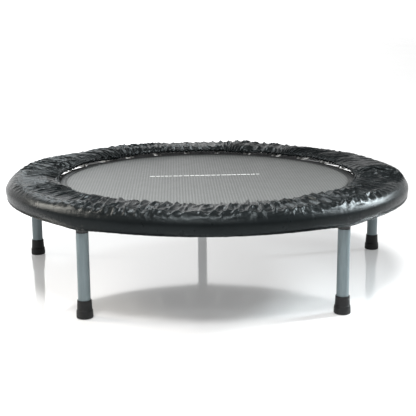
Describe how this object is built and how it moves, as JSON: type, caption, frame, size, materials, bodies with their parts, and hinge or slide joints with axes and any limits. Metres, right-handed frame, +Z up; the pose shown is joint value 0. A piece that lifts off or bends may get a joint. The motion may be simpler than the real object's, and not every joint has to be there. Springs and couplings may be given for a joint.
{
  "type": "mini trampoline",
  "caption": "Round mini trampoline: woven mat on springs in a welded steel ring, ruffled padded cover, vertical screw-in legs with rubber feet.",
  "frame": {"origin": "centre of the ring at floor level, in the plane of the feet's undersides", "axes": "+Z up along the ring's axis, -Y towards the side with the gap between two legs, +Y towards the single back leg"},
  "size_m": [0.9279, 0.928, 0.2315],
  "materials": {
    "leg_paint": "satin",
    "socket_black": "satin",
    "zinc": "bright zinc plate",
    "foam": "matte",
    "cover_fabric": "slightly glossy coated fabric",
    "mat_weave": "woven, satin",
    "webbing": "matte",
    "elastic": "matte",
    "rubber_black": "matte"
  },
  "bodies": {
    "frame": {"frame_ring": "socket_black", "leg_sockets": "socket_black", "weld_nuts": "zinc", "spring_eyes": "zinc", "pad_foam": "foam", "cover_top": "cover_fabric", "cover_skirt": "cover_fabric", "cover_liner": "cover_fabric", "inner_elastic": "elastic", "outer_elastic": "elastic", "springs": "zinc"},
    "mat_body": {"mat": "mat_weave", "mat_band": "webbing", "ring_tabs": "webbing", "v_rings": "zinc"},
    "washer_1": {"lock_washer_1": "rubber_black"},
    "leg_1": {"leg_tube_1": "leg_paint", "leg_plug_1": "zinc", "leg_stud_1": "zinc", "foot_1": "rubber_black", "foot_washer_1": "zinc"},
    "washer_2": {"lock_washer_2": "rubber_black"},
    "leg_2": {"leg_tube_2": "leg_paint", "leg_plug_2": "zinc", "leg_stud_2": "zinc", "foot_2": "rubber_black", "foot_washer_2": "zinc"},
    "washer_3": {"lock_washer_3": "rubber_black"},
    "leg_3": {"leg_tube_3": "leg_paint", "leg_plug_3": "zinc", "leg_stud_3": "zinc", "foot_3": "rubber_black", "foot_washer_3": "zinc"},
    "washer_4": {"lock_washer_4": "rubber_black"},
    "leg_4": {"leg_tube_4": "leg_paint", "leg_plug_4": "zinc", "leg_stud_4": "zinc", "foot_4": "rubber_black", "foot_washer_4": "zinc"},
    "washer_5": {"lock_washer_5": "rubber_black"},
    "leg_5": {"leg_tube_5": "leg_paint", "leg_plug_5": "zinc", "leg_stud_5": "zinc", "foot_5": "rubber_black", "foot_washer_5": "zinc"}
  },
  "joints": [
    {"name": "mat_bounce", "type": "slide", "parent": "frame", "child": "mat_body", "axis": [0, 0, -1], "range_m": [0, 0.06], "stiffness_N_per_m": 14000, "deforming": ["springs"]},
    {"name": "leg_1_travel", "type": "slide", "parent": "frame", "child": "washer_1", "axis": [0, 0, -1], "range_m": [0, 0.015]},
    {"name": "leg_1_turn", "type": "hinge", "parent": "washer_1", "child": "leg_1", "pos_m": [0, 0.4445, 0.1], "axis": [0, 0, -1], "range_deg": [0, 3600]},
    {"name": "leg_2_travel", "type": "slide", "parent": "frame", "child": "washer_2", "axis": [0, 0, -1], "range_m": [0, 0.015]},
    {"name": "leg_2_turn", "type": "hinge", "parent": "washer_2", "child": "leg_2", "pos_m": [-0.42274, 0.13736, 0.1], "axis": [0, 0, -1], "range_deg": [0, 3600]},
    {"name": "leg_3_travel", "type": "slide", "parent": "frame", "child": "washer_3", "axis": [0, 0, -1], "range_m": [0, 0.015]},
    {"name": "leg_3_turn", "type": "hinge", "parent": "washer_3", "child": "leg_3", "pos_m": [-0.26127, -0.35961, 0.1], "axis": [0, 0, -1], "range_deg": [0, 3600]},
    {"name": "leg_4_travel", "type": "slide", "parent": "frame", "child": "washer_4", "axis": [0, 0, -1], "range_m": [0, 0.015]},
    {"name": "leg_4_turn", "type": "hinge", "parent": "washer_4", "child": "leg_4", "pos_m": [0.26127, -0.35961, 0.1], "axis": [0, 0, -1], "range_deg": [0, 3600]},
    {"name": "leg_5_travel", "type": "slide", "parent": "frame", "child": "washer_5", "axis": [0, 0, -1], "range_m": [0, 0.015]},
    {"name": "leg_5_turn", "type": "hinge", "parent": "washer_5", "child": "leg_5", "pos_m": [0.42274, 0.13736, 0.1], "axis": [0, 0, -1], "range_deg": [0, 3600]}
  ],
  "couplings": [
    {"joint": "leg_1_turn", "follows": "leg_1_travel", "rad_per_m": 4188.8},
    {"joint": "leg_2_turn", "follows": "leg_2_travel", "rad_per_m": 4188.8},
    {"joint": "leg_3_turn", "follows": "leg_3_travel", "rad_per_m": 4188.8},
    {"joint": "leg_4_turn", "follows": "leg_4_travel", "rad_per_m": 4188.8},
    {"joint": "leg_5_turn", "follows": "leg_5_travel", "rad_per_m": 4188.8}
  ]
}
